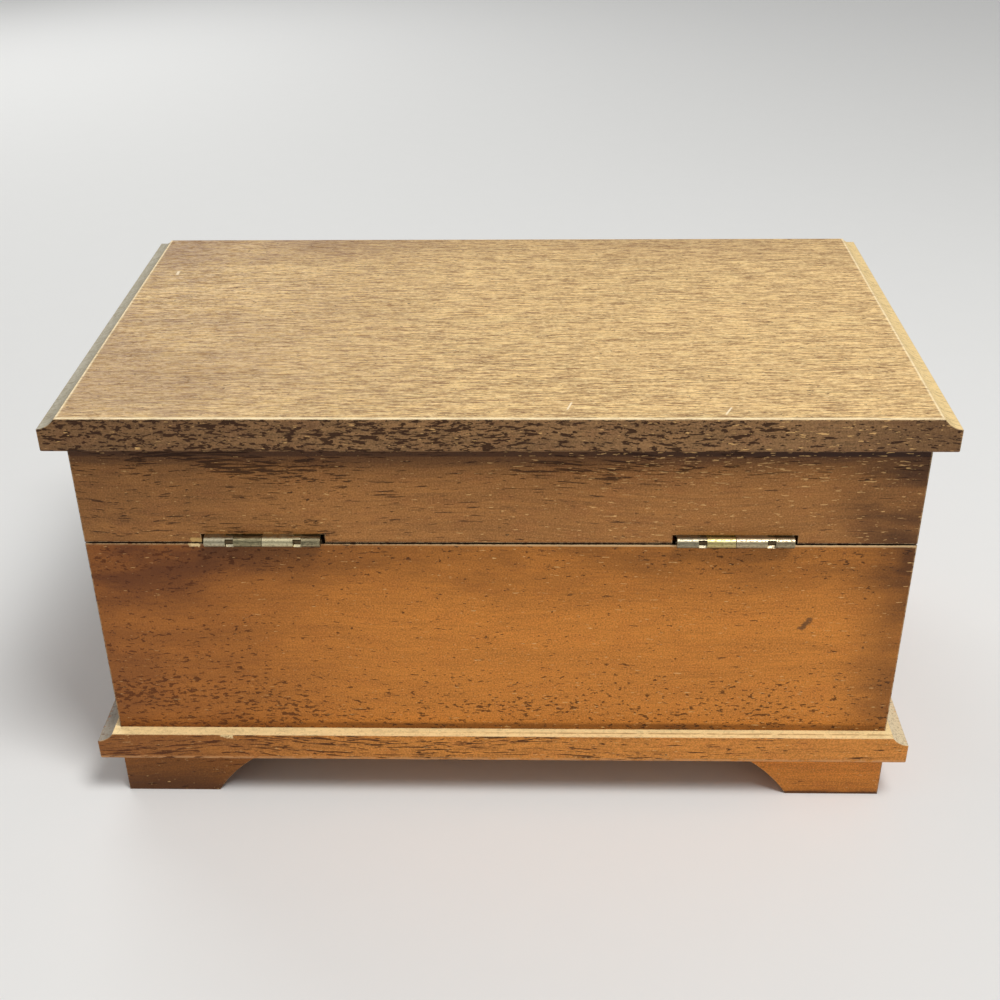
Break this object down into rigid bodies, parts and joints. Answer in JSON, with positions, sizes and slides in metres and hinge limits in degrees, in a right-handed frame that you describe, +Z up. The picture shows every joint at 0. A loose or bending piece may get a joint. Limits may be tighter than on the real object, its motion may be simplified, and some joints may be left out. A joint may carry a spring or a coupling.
{
  "type": "musical jewelry box",
  "caption": "Wooden jewelry box on bracket feet with a moulded lid on stop hinges, a mirror, lined compartments and a wound musical movement.",
  "frame": {"origin": "on the surface the feet stand on, under the middle of the whole outline", "axes": "+Z up, +X along the box to its right as seen from the front, +Y towards the hinges"},
  "size_m": [0.2112, 0.123, 0.1146],
  "materials": {
    "box_wood": "worn satin varnish",
    "base_wood": "worn satin varnish, bare along its edges",
    "lid_wood": "worn satin varnish",
    "divider_wood": "satin varnish",
    "hinge_brass": "aged brass",
    "hinge_pin_steel": "plain",
    "screw_brass": "aged brass",
    "screw_steel": "plain",
    "velvet": "short pile",
    "mirror_glass": "silvered",
    "clear_cover": "clear",
    "movement_zinc": "gilt lacquer on a casting",
    "housing_steel": "plated",
    "spring_steel": "blued",
    "movement_steel": "ground",
    "movement_brass": "polished",
    "wheel_plastic": "moulded",
    "key_steel": "plated"
  },
  "bodies": {
    "case": {"foot_front_left": "box_wood", "foot_front_right": "box_wood", "foot_back_left": "box_wood", "foot_back_right": "box_wood", "foot_blocks": "box_wood", "wall_front": "box_wood", "wall_back": "box_wood", "wall_left": "box_wood", "wall_right": "box_wood", "base_board": "base_wood", "divider_long": "divider_wood", "divider_cross": "divider_wood", "cover_ledges": "divider_wood", "hinge_left_box_leaf": "hinge_brass", "hinge_right_box_leaf": "hinge_brass", "hinge_left_pin": "hinge_pin_steel", "hinge_right_pin": "hinge_pin_steel", "box_leaf_screws": "screw_brass", "base_screws": "screw_steel", "movement_screws": "screw_steel", "small_screws": "screw_steel", "box_lining": "velvet", "tray_pad": "velvet", "ring_block": "velvet", "ring_roll_1": "velvet", "ring_roll_2": "velvet", "ring_roll_3": "velvet", "movement_cover": "clear_cover", "bedplate": "movement_zinc", "spring_housing": "housing_steel", "mainspring": "spring_steel", "cylinder_post_left": "movement_steel", "cylinder_post_right": "movement_steel", "comb": "movement_steel", "lever_bracket": "movement_steel", "governor_frame": "movement_brass"},
    "lid": {"lid_board": "lid_wood", "lid_rail_front": "box_wood", "lid_rail_back": "box_wood", "lid_rail_left": "box_wood", "lid_rail_right": "box_wood", "lid_pad": "velvet", "mirror": "mirror_glass", "lid_lining": "velvet", "hinge_left_lid_leaf": "hinge_brass", "hinge_right_lid_leaf": "hinge_brass", "lid_leaf_screws": "screw_brass"},
    "winding": {"winding_arbor": "movement_steel", "crown_wheel": "movement_brass", "clutch_spring": "spring_steel", "winding_key": "key_steel"},
    "cylinder_set": {"cylinder": "movement_brass", "cylinder_arbor": "movement_steel", "great_wheel": "movement_brass"},
    "governor": {"governor_arbor": "movement_steel", "worm_wheel": "wheel_plastic"},
    "fly": {"fly_spindle": "movement_steel", "fly_blades": "wheel_plastic"},
    "stop_arm": {"stop_lever": "movement_steel"},
    "stop_pin": {"stop_rod": "movement_steel"}
  },
  "joints": [
    {"name": "lid_hinge", "type": "hinge", "parent": "case", "child": "lid", "pos_m": [0, 0.05805, 0.08], "axis": [-1, 0, 0], "range_deg": [0, 95]},
    {"name": "cylinder_spin", "type": "hinge", "parent": "case", "child": "cylinder_set", "pos_m": [0.06815, 0.01755, 0.0356], "axis": [1, 0, 0], "continuous": true},
    {"name": "winding_spin", "type": "hinge", "parent": "case", "child": "winding", "pos_m": [0.04375, 0.01755, 0.0216], "axis": [0, 0, 1], "continuous": true},
    {"name": "governor_spin", "type": "hinge", "parent": "case", "child": "governor", "pos_m": [0.08395, 0.02695, 0.03218], "axis": [1, 0, 0], "continuous": true},
    {"name": "fly_spin", "type": "hinge", "parent": "case", "child": "fly", "pos_m": [0.08395, 0.03345, 0.03218], "axis": [0, 0, 1], "continuous": true},
    {"name": "stop_lever_turn", "type": "hinge", "parent": "case", "child": "stop_arm", "pos_m": [0.08805, 0.03345, 0.026], "axis": [0, -1, 0], "range_deg": [0, 12.27]},
    {"name": "stop_rod_slide", "type": "slide", "parent": "case", "child": "stop_pin", "axis": [0, 0, 1], "range_m": [0, 0.00201]}
  ],
  "couplings": [
    {"joint": "winding_spin", "follows": "cylinder_spin", "ratio": 0.25},
    {"joint": "governor_spin", "follows": "cylinder_spin", "ratio": -4},
    {"joint": "fly_spin", "follows": "cylinder_spin", "ratio": 40},
    {"joint": "stop_lever_turn", "follows": "lid_hinge", "ratio": 0.12862},
    {"joint": "stop_rod_slide", "follows": "lid_hinge", "m_per_rad": 0.0012062}
  ]
}
